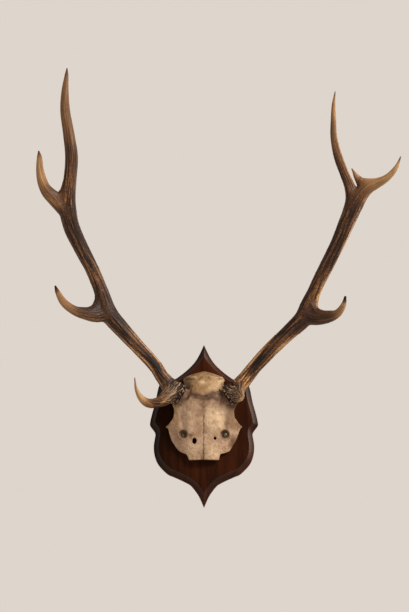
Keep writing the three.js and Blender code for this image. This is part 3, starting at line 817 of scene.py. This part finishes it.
def skull_height(x, z):
    """Height of the bone's outer face above the shield."""
    _, _, vault, middle, edge, boxy = steady_curve(SKULL_ROWS, z).T
    fall = (middle - edge) * np.abs(x / vault) ** boxy
    brow_groove = 3.2 * bump(np.abs(x) - 40, 6) * bump(z + 6, 14)
    brow_swell = 1.8 * bump(np.abs(x) - 27, 9) * bump(z - 2, 22)
    nape_crease = 2.2 * bump(z - 86, 3) * (1 - bump(x, 7))
    suture = 1.2 * bump(x + 1, 3) * bump(z + 12, 30)
    return np.maximum(0, middle - fall - suture - brow_groove + brow_swell - nape_crease)


def skull_shell():
    """The bone between its outer face and a hollow inner one, as a closed skin of rows."""
    zs = np.arange(SKULL_ROWS[0][0], SKULL_ROWS[-1][0] + 0.5, 1.0)
    shares = np.linspace(-1, 1, 97)
    rings = []
    for z, row in zip(zs, steady_curve(SKULL_ROWS, zs)):
        half = np.where(shares < 0, row[0], row[1])
        x = shares * half
        outer = skull_height(x, np.full_like(x, z))
        braincase = rise(z, 45, 66)
        bone = FACE_BONE + (BRAINCASE_BONE - FACE_BONE) * braincase
        inset = 2.5 + 3 * braincase
        inner_x = x * np.maximum(0.2, (half - inset) / half)
        inner_z = z - 6 * rise(z, 78, 105)
        ring = [(a, SHIELD_FACE - h, z) for a, h in zip(x, np.maximum(outer, 2 * GAP))]
        inner = zip(inner_x[::-1], np.maximum(outer - bone, GAP)[::-1])
        rings.append(ring + [(a, SHIELD_FACE - h, inner_z) for a, h in inner])
    return rings_to_mesh("shell", rings)


def under_bone(x, z, drop):
    """Place of a point a little below the bone's outer face."""
    height = skull_height(*np.array([[x], [z]], float))[0] - drop
    return SHIELD_FACE - max(height, 1)


def socket_wall(side):
    line = np.array(SOCKET_WALL_LINE, float)
    steps = np.linspace(0, len(line) - 1, 50)
    x, z = (np.interp(steps, range(len(line)), column) for column in line.T)
    face = SHIELD_FACE - GAP
    rings = []
    for a, b in zip(x, z):
        deep = under_bone(side * a, b, 2.5)
        inner = side * (a - SOCKET_WALL)
        rings.append([(side * a, face, b), (side * a, deep, b), (inner, deep, b), (inner, face, b)])
    return rings_to_mesh("wall", rings)


def screw_boss(side):
    x = side * SCREW_X
    back = SHIELD_FACE - SOCKET_FLOOR + 7
    return round_bar("boss", BOSS_RADIUS, x, SCREW_Z, back, under_bone(x, SCREW_Z, 1.5))


def bar_on(centre, axis, places):
    """A bar along the axis through a burr, from heights on it and radii."""
    return tube(make_route([[*(centre + unit(axis) * height), radius] for height, radius in places]))


def pedicle(centre, axis):
    return bar_on(centre, axis, [(h, PEDICLE_RADIUS - h / 12) for h in (-36, -18, -BURR_BELOW - GAP)])


def make_skull():
    parts = [skull_shell()]
    for side in (-1, 1):
        parts += [socket_wall(side), screw_boss(side)]
    parts += [pedicle(*LEFT_BURR), pedicle(*RIGHT_BURR)]
    bone = melt(join("skull_bone", parts), SKULL_VOXEL)
    cutters = [foramen(-18.8, -38.5, 8.4, 11.8), foramen(21.6, -33.5, 5.4, 6.4)]
    floor = SHIELD_FACE - SOCKET_FLOOR
    holes = ((SOCKET_RADIUS, floor), (SCREW_SHANK_RADIUS + 0.6, SHIELD_FACE - 1))
    for x in (-SCREW_X, SCREW_X):
        cutters += [round_bar("hole", radius, x, SCREW_Z, back, floor - 40) for radius, back in holes]
    cut(bone, cutters)
    melt(bone, SKULL_VOXEL)
    modify(bone, "SMOOTH", iterations=4)
    weather_bone(bone)
    put_on(bone, bone_material(), ["skull"])


def foramen(x, z, width, height):
    """A cutter for one of the two natural holes in the face."""
    rings = [
        [(x + (a - x) * width / 2, y, z + (b - z) * height / 2) for a, y, b in circle(1, x, z, depth, 32)]
        for depth in (SHIELD_FACE - 5, SHIELD_FACE - 55)
    ]
    return rings_to_mesh("foramen", rings)


def wavy(along, size, length, seed):
    place = along / length
    return size * line_noise(place, seed) + 0.6 * size * line_noise(place * 3.1, seed + 5)


def patches(x, z, places):
    """Soft patches, each from its x, z, reach, how many times wider than high, and how strong."""
    found = 0
    for middle_x, middle_z, reach, flat, strong in places:
        found = found + strong * bump(np.hypot(x - middle_x, (z - middle_z) * flat), reach)
    return found


def weather_bone(bone):
    """Sutures, creases, pits and stains of the bone, with painted shade and painted highlights, from each
    point's place.
    """
    points = points_of(bone)
    normals = normals_of(bone)
    x, _, z = points.T
    aside = np.abs(x)
    from_seam = np.abs(x + 1)
    front = rise(-normals[:, 1], 0.1, 0.5)
    swell = layered_noise(points / 16, 3, 12)
    dents = layered_noise(points / 6, 2, 13)
    lumps = layered_noise(points / 9, 2, 14)
    uneven = rise(dents, -0.5, 0.3)
    dome = rise(z, 52, 62)
    middle_seam = bump(x + 1 + wavy(z, 0.9, 6, 1), 0.9) * rise(z, -80, -70) * fade(z, 8, 14)
    coronal_z = 44.5 + 11 * np.clip(from_seam / 34, 0, 1.6) ** 1.5 + wavy(x, 1.4, 4, 3)
    coronal = bump(z - coronal_z, 1.1) * fade(aside, 40, 46)
    nape_z = 86 + 3 * np.cos(x / 7) - 2 * bump(x, 8) + wavy(x, 1, 6, 4)
    nape = bump(z - nape_z, 2.4) * fade(aside, 34, 40)
    nape_crest = bump(z - nape_z - 4.5, 2.6) * fade(aside, 34, 40)
    nape_ears = patches(aside, z, NAPE_EARS)
    pits = rise(soft_noise(points / 1.7, 11), 0.45, 0.8) * rise(-z, 20, 60)
    under_dome_z = 43 + 9.5 * np.clip(from_seam / 36, 0, 1.2) ** 1.3 + wavy(x, 1.6, 12, 6)
    under_dome = bump(z - under_dome_z, 9) * (0.5 + 0.5 * rise(from_seam, 1, 10))
    brow_cut = bump(aside - 44 - 0.2 * z, 5) * bump(z + 2, 15)
    lift = 1.3 * swell + 0.8 * dents - 1.0 * middle_seam - 0.9 * coronal - 1.8 * nape - 0.6 * pits
    lift = lift - 1.3 * under_dome - 1.6 * brow_cut + 2.4 * nape_ears + 2 * nape_crest + 1.3 * dome * lumps
    move_points(bone, points + normals * (lift * front)[:, None])

    # Darker round each screw socket
    screw_surround = fade(np.hypot(aside - SCREW_X, z - SCREW_Z), SOCKET_RADIUS - 1, SOCKET_RADIUS + 4.5)
    spots = bump(x + 2, 7) * rise(z, 2, 14) * fade(z, 42, 50) * uneven
    foot = bump(x + 2, 1.5 + 2 * rise(-z, 48, 72)) * rise(-z, 40, 56)
    # Painted shade in the brow grooves, stronger on the right one
    brow = bump(x - 46, 7) * bump(z - 4, 20) + 0.4 * bump(x + 44, 6) * bump(z + 4, 16)
    # Painted shade on the outer slope of the right cheek
    painted_cheek_shade = rise(x, 44, 56) * bump(z + 42, 18)
    # Painted shade on the bone beside the right burr
    painted_burr_shade = bump(x - 31, 9) * rise(z, 12, 30) * fade(z, 50, 60)
    rim = rise(aside - 46, 0, 12) * rise(z, -20, -4)
    rusty = patches(x, z, RUSTY_PATCH)
    stain_and_shade = 0.9 * middle_seam + 0.7 * coronal + 0.75 * screw_surround + 0.6 * spots + 0.6 * foot
    stain_and_shade += 0.5 * brow + 0.7 * painted_cheek_shade + 0.5 * painted_burr_shade + 0.5 * pits + 0.16 * rise(-dents, 0.1, 0.6)
    # Painted shadow in the nape crease under its top edge, on the left
    stain_and_shade += 0.45 * nape * rise(-x, -14, 10) * rise(dents, -0.5, 0.2)
    # Painted shade under the edge of the dome, stronger on the right and broken up by lumps
    stain_and_shade += (1 + 0.3 * rise(x, -5, 10)) * under_dome * rise(lumps, -1.3, -0.3)
    # A little brown over the dome, and mottled painted shade over the dome away from its right side
    stain_and_shade += 0.06 * dome + 0.15 * dome * rise(-lumps, -0.1, 0.5) * rise(28 - x, 0, 20)
    stain_and_shade += 0.14 * rise(z, 8, 26) * rise(x, -12, 4) * (1 - dome)
    stain_and_shade += 0.4 * rise(z, 87, 94) * rise(dents, -0.6, 0.2)
    # A stain on the right rim, and painted shade on surfaces turned away from the front
    stain_and_shade += 0.45 * rim * rise(x, 0, 1) + 0.55 * (1 - front)
    # Painted shadow on the bone round each burr, less on the dome
    for centre, _ in (LEFT_BURR, RIGHT_BURR):
        stain_and_shade += 0.75 * fade(size(points - centre), 21, 30) * (1 - 0.75 * dome)
    stain_and_shade += 0.9 * rusty + patches(x, z, DARK_PATCH)
    warm = 0.75 * rise(z, 43, 60) + 0.6 * rim + 0.8 * rusty
    warm += 0.4 * rise(-z, 45, 70) * rise(swell, -0.3, 0.5)
    # Paler bone and painted highlights from the patches, and a painted highlight along the nape crest
    pale = patches(x, z, PALE_AND_HIGHLIGHT_PATCHES) + 0.5 * nape_crest * rise(dents, -0.3, 0.4)
    keep(bone, "stain_and_shade", np.clip(stain_and_shade, 0, 1))
    keep(bone, "warm", np.clip(warm, 0, 0.8))
    keep(bone, "pale", np.clip(pale * front, 0, 0.9))


# Antlers

Route = namedtuple("Route", "centres tangents radii lengths outward sideways rough pale tip")


def make_route(stations, pale=NOT_PALE, tip=0, rough=TINE_ROUGH, across=TO_WALL):
    """A smooth line through stations, sampled closely, with the radius and axes of each section."""
    table = np.array(stations, float)
    points, widths = table[:, :3], table[:, 3]
    longer = carried_on(points)
    ends = np.concatenate([widths[:1], widths, widths[-1:]])
    centres, radii = [], []
    for i in range(len(points) - 1):
        p0, p1, p2, p3 = longer[i:i + 4]
        g0, g1, g2 = (size(b - a) ** 0.5 for a, b in ((p0, p1), (p1, p2), (p2, p3)))
        leave = g1 * ((p1 - p0) / g0 - (p2 - p0) / (g0 + g1) + (p2 - p1) / g1)
        arrive = g1 * ((p2 - p1) / g1 - (p3 - p1) / (g1 + g2) + (p3 - p2) / g2)
        w0, w1, w2, w3 = ends[i:i + 4]
        count = math.ceil(size(p2 - p1) / ROUTE_STEP)
        u = np.arange(count) / count
        centres.append(hermite(u[:, None], p1, p2, leave, arrive))
        radii.append(hermite(u, w1, w2, (w2 - w0) / 2, (w3 - w1) / 2))
    centres = np.vstack([*centres, points[-1:]])
    radii = np.concatenate([*radii, widths[-1:]])
    tangents = unit(np.gradient(centres, axis=0))
    lengths = np.concatenate([[0], np.cumsum(size(np.diff(centres, axis=0)))])
    outward = unit(across - tangents * (tangents @ across)[:, None])
    sideways = np.cross(outward, tangents)
    return Route(centres, tangents, radii, lengths, outward, sideways, rough, pale, tip)


def tube(route, sides=28):
    turns = np.arange(sides) * 2 * math.pi / sides
    last = len(route.centres) - 1
    rings = []
    for i in (*range(0, last, 2), last):
        across = np.cos(turns)[:, None] * route.outward[i] + np.sin(turns)[:, None] * route.sideways[i]
        rings.append(list(route.centres[i] + route.radii[i] * across))
    return rings_to_mesh("bar", rings)


def nearest_on(route, points):
    """For each point: its distance from the bar, the way there, its length along and angle round."""
    best = np.empty(len(points), int)
    own = (route.centres ** 2).sum(1)
    for start in range(0, len(points), POINTS_AT_ONCE):
        some = slice(start, start + POINTS_AT_ONCE)
        best[some] = (own - 2 * points[some] @ route.centres.T).argmin(1)
    offset = points - route.centres[best]
    ahead = (offset * route.tangents[best]).sum(1)
    along = np.clip(route.lengths[best] + ahead, 0, route.lengths[-1])
    over = ahead - np.clip(ahead, -ROUTE_STEP, ROUTE_STEP)
    over = np.where(over < 0, over * ROOT_FLATNESS, over)
    beside = offset - (ahead - over)[:, None] * route.tangents[best]
    distance = np.maximum(size(beside), 1e-6)
    radius = np.interp(along, route.lengths, route.radii)
    angle = np.arctan2((offset * route.sideways[best]).sum(1), (offset * route.outward[best]).sum(1))
    return distance - radius, beside / distance[:, None], along, angle


def burr_pearls(centre, axis, seed):
    """Centres and radii of the pearls that make up the burr's ragged rim."""
    outward = unit(TO_WALL - axis * (axis @ TO_WALL))
    sideways = np.cross(outward, axis)
    scatter = np.random.default_rng(seed)
    pearls = []
    for count, ring, height, thick in BURR_ROWS:
        for k in range(count):
            angle = 2 * math.pi * (k + 0.35 * scatter.uniform(-1, 1)) / count
            reach = ring + scatter.uniform(-0.7, 0.9)
            level = height + scatter.uniform(-0.8, 0.8)
            across = math.cos(angle) * outward + math.sin(angle) * sideways
            radius = thick + scatter.uniform(-0.9, 0.7)
            pearls.append((*(centre + reach * across + level * axis), radius))
    return np.array(pearls)


def ball(x, y, z, radius):
    turns = np.linspace(0.25, math.pi - 0.25, 7)
    return turned("ball", [(radius * math.sin(a), radius * math.cos(a)) for a in turns], x, y, z, 12)


Antler = namedtuple("Antler", "routes centre axis pearls")


def skin_distance(antler, points):
    """Each point's distance from the smooth skin, the way out, each route's measure and the height."""
    found = [nearest_on(route, points) for route in antler.routes]
    gaps = [item[0] for item in found]
    ways = [item[1] for item in found]
    apart = points - antler.centre
    height = apart @ antler.axis
    flat = apart - height[:, None] * antler.axis
    reach = np.maximum(size(flat), 1e-6)
    ring = np.stack([reach - BURR_RING_RADIUS, height - BURR_RING_HEIGHT], axis=1)
    ring_gap = np.maximum(size(ring), 1e-6)
    lean = ring / ring_gap[:, None]
    gaps.append(ring_gap - BURR_RING_SIZE)
    ways.append(flat / reach[:, None] * lean[:, :1] + antler.axis * lean[:, 1:])
    gaps = np.array(gaps)
    shares = np.exp(-np.clip(gaps - gaps.min(0), 0, 60) / FORK_FILL)
    total = shares.sum(0)
    gap = gaps.min(0) - FORK_FILL * np.log(total)
    way = sum(share[:, None] * direction for share, direction in zip(shares / total, ways))
    to_pearls = points[:, None, :] - antler.pearls[None, :, :3]
    pearl_gaps = size(to_pearls) - antler.pearls[:, 3]
    pearl_gap = pearl_gaps.min(1)
    pearl_way = unit(to_pearls[np.arange(len(points)), pearl_gaps.argmin(1)])
    on_pearl = rise(gap - pearl_gap, -0.6, 0.6)
    gap = gap * (1 - on_pearl) + pearl_gap * on_pearl
    way = way * (1 - on_pearl)[:, None] + pearl_way * on_pearl[:, None]
    foot = BURR_FOOT - height
    way = np.where((foot > gap)[:, None], -antler.axis, unit(way))
    return np.maximum(gap, foot), way, found, height


def unrolled(along, angle):
    """Each point's place on a straight bar of even thickness."""
    return np.stack([SKIN_RADIUS * np.cos(angle), SKIN_RADIUS * np.sin(angle), along], axis=1)


def streaks(along, angle, around, length, seed):
    """Noise drawn out along an antler."""
    return soft_noise(unrolled(along, angle) / [around, around, length], seed)


def make_antler(side, routes, centre, axis, seed, nodes):
    axis = unit(axis)
    pearls = burr_pearls(centre, axis, seed)
    antler = Antler(routes, centre, axis, pearls)
    parts = [tube(route) for route in routes]
    parts.append(bar_on(centre, axis, BURR_DISC))
    parts += [ball(*pearl) for pearl in pearls]
    horn = melt(join(side + "_antler", parts), ANTLER_VOXEL)
    modify(horn, "SMOOTH", iterations=3)
    points = points_of(horn)
    for _ in range(SETTLING_ROUNDS):
        gap, way, _, _ = skin_distance(antler, points)
        points = points - 0.85 * np.clip(gap, -4, 4)[:, None] * way
    move_points(horn, points)
    modify(horn, "SMOOTH", factor=0.4)
    carve_antler(horn, antler, seed)
    put_on(horn, antler_material(), [side + "_" + node for node in nodes])


def route_marks(antler, found, weights, seed):
    """Grooves and ridges, roughness, paleness and dark tips, from each route by its weight."""
    marks = np.zeros((4, weights.shape[1]))
    for i, (route, (_, _, along, angle)) in enumerate(zip(antler.routes, found)):
        offset = seed + 20 * i
        turned_angle = angle + 0.25 * line_noise(along / 60, offset)
        gutters = np.abs(streaks(along, turned_angle, 5.5, 95, offset)) ** 0.6
        ridges = np.abs(streaks(along, turned_angle, 2.9, 48, offset + 1)) ** 0.7
        share = along / route.lengths[-1]
        marks += weights[i] * np.array([
            0.55 * gutters + 0.45 * ridges,
            np.interp(share, *np.array(route.rough, float).T),
            np.interp(share, *np.array(route.pale, float).T),
            route.tip * fade(route.lengths[-1] - along, 3, 17),
        ])
    return marks


def wear_and_painted_sheen(antler, points, normals, worn):
    """How much the skin is rubbed light by wear, most on the lower beams, with painted sheen on edges
    turned from the front, painted light on the right antler's sides facing right and painted shade on
    those of the left antler's upper beam.
    """
    # Painted sheen on edges turned away from the front; sides facing right get painted light on the right
    # antler and painted shade on the left one's upper beam
    edges = fade(-normals[:, 1], 0.7, 0.97)
    right_edge = rise(normals[:, 0], 0.25, 0.8)
    high = rise(points[:, 2], 115, 195)
    upper = 0.15 * edges - 0.3 * right_edge if antler.centre[0] < 0 else 0.75 * right_edge
    polish_and_sheen = (0.2 + 0.75 * edges) * (1 - high) + (0.22 + upper) * high + 0.25 * worn
    for place, reach, more in WORN_PLACES:
        polish_and_sheen = polish_and_sheen + more * near(points, place, reach)
    return np.clip(polish_and_sheen, 0, 1)


def carve_antler(horn, antler, seed):
    """Long grooves, ridges and pearls of the skin, and the values that its colours follow."""
    points = points_of(horn)
    normals = normals_of(horn)
    _, _, found, height = skin_distance(antler, points)
    gaps = np.array([item[0] for item in found])
    weights = np.exp(-np.clip(gaps - gaps.min(0), 0, 90) / SKIN_MIX)
    weights = weights / weights.sum(0)
    relief, rough, pale, tip = route_marks(antler, found, weights, seed)
    apart = points - antler.centre
    near_burr = fade(height, 14, 46) * fade(size(apart), 45, 75)
    burr_along, burr_angle = found[1][2:]
    swaying = burr_angle + 0.1 * np.sin(burr_along / 4)
    wave = 1 - np.abs(streaks(burr_along, swaying, 2, 24, seed + 13)) ** 0.55
    relief = relief * (1 - near_burr) + wave * near_burr
    beads = rise(soft_noise(points / 3.1, seed + 7), 0.35, 0.8) * rough * (1 - near_burr)
    lift = (2.0 + 0.6 * near_burr) * rough * (relief - 0.55) + 0.45 * beads
    off_foot = rise(height, -BURR_BELOW + 0.2, -BURR_BELOW + 2)
    move_points(horn, points + normals * (lift * off_foot)[:, None])

    rim = bump(height + 1.5, 3.2)
    reach = size(apart - height[:, None] * antler.axis)
    # Outer tips of the rim's pearls lighter, partly as painted highlights, and the gaps between them dark
    # as painted shade
    teeth = rise(reach, 20.5, 23.2)
    broken = near(points, *BROKEN_END)
    worn = layered_noise(points / 45, 2, seed + 9)
    second, first = np.sort(weights, axis=0)[-2:]
    best = weights.argmax(0)
    along = np.choose(best, [item[2] for item in found])
    angle = np.choose(best, [item[3] for item in found])
    keep(horn, "clear", rise(first - second, 0.05, 0.6) * (1 - 0.85 * near_burr))
    keep(horn, "relief", np.clip(relief * (1 - rim) + 1.1 * teeth * rim + 0.2 * beads + broken, 0, 1))
    keep(horn, "polish_and_sheen", wear_and_painted_sheen(antler, points, normals, worn))
    keep(horn, "pale", np.clip(pale + 0.2 * worn * (pale > 0.05) + broken, 0, 1))
    keep(horn, "tip", tip)
    keep(horn, "grey", near_burr * (0.85 + 0.15 * rim) * (1 - broken))
    keep(horn, "flow", unrolled(along + 300 * best, angle) * MM)
    keep(horn, "burr_flow", unrolled(burr_along, burr_angle) * MM)


def make_antlers():
    left = [
        make_route(LEFT_BEAM, LEFT_BEAM_PALE, 0.5, BEAM_ROUGH),
        make_route(LEFT_BROW, BROW_PALE, 0.25, across=SIDEWAYS),
        make_route(LEFT_TRAY, TRAY_PALE, 1),
        make_route(LEFT_OUTER, OUTER_PALE, 0.5),
        make_route(LEFT_TRAY_WEB, rough=ROUGH_ALL_ALONG),
        make_route(LEFT_OUTER_WEB, rough=ROUGH_ALL_ALONG),
    ]
    nodes = ("lower_beam", "upper_beam", "top_tine", "brow_tine", "tray_tine", "outer_tine")
    make_antler("left", left, *LEFT_BURR, 3, nodes)
    right = [
        make_route(RIGHT_BEAM, RIGHT_BEAM_PALE, 0.5, BEAM_ROUGH),
        make_route(RIGHT_STUB, rough=ROUGH_ALL_ALONG, across=SIDEWAYS),
        make_route(RIGHT_TRAY, RIGHT_TRAY_PALE, 1),
        make_route(RIGHT_INNER, INNER_PALE, 0.5),
        make_route(RIGHT_BACK, TRAY_PALE, 0.25),
        make_route(RIGHT_TRAY_WEB, rough=ROUGH_ALL_ALONG),
        make_route(RIGHT_BACK_WEB, OUTER_PALE),
    ]
    nodes = ("lower_beam", "upper_beam", "outer_tine", "tray_tine", "inner_tine", "back_tine")
    make_antler("right", right, *RIGHT_BURR, 8, nodes)


# Stage, with its places in metres

CAMERA_PLACE = (0.001, -2.9599, -0.5446)
CAMERA_PITCH = 15
CAMERA_LENS = 88.235
FLOOR_Z = -2.1
FLOOR_REACH = 60
BACKGROUND = colour(222, 213, 204)
AMBIENT = (0.33, 0.312, 0.295, 1)

# Each light's name, place, width, power and tint, and the point that they all face
LIGHTS = [
    ("key", (1.65, -1.75, 1.5), 0.9, 76, (1.0, 0.93, 0.84)),
    ("back", (1.8, 1.6, 0.7), 2.2, 24, (1.0, 0.87, 0.74)),
]
LIGHT_TARGET = (0, -0.1, 0.15)


def area_light(name, place, width, power, tint):
    light = bpy.data.lights.new(name, "AREA")
    light.shape = "DISK"
    light.size = width
    light.energy = power
    light.color = tint
    made = in_scene(name, light)
    made.location = place
    made.rotation_euler = (Vector(LIGHT_TARGET) - Vector(place)).to_track_quat("-Z", "Y").to_euler()


def make_stage():
    scene = bpy.context.scene
    reach = FLOOR_REACH / MM
    corners = [(x * reach, y * reach, 0) for x, y in ((-1, -1), (1, -1), (1, 1), (-1, 1))]
    floor = mesh_object("floor", corners, [(0, 1, 2, 3)])
    floor.location.z = FLOOR_Z
    floor.data.materials.append(floor_material())
    world = bpy.data.worlds.new("pale room")
    scene.world = world
    world.use_nodes = True
    tree = world.node_tree
    seen = tree.nodes.new("ShaderNodeMixRGB")
    seen.inputs["Color1"].default_value = AMBIENT
    seen.inputs["Color2"].default_value = BACKGROUND
    tree.links.new(tree.nodes.new("ShaderNodeLightPath").outputs["Is Camera Ray"], seen.inputs["Fac"])
    tree.links.new(seen.outputs["Color"], tree.nodes["Background"].inputs["Color"])
    scene.view_settings.view_transform = "Standard"
    for light in LIGHTS:
        area_light(*light)
    camera = bpy.data.cameras.new("camera")
    camera.sensor_width = 36
    camera.lens = CAMERA_LENS
    made = in_scene("camera", camera)
    made.location = CAMERA_PLACE
    made.rotation_euler = (math.radians(90 + CAMERA_PITCH), 0, 0)
    scene.camera = made


make_stage()
make_shield()
make_hanger()
make_skull_screws()
make_skull()
make_antlers()
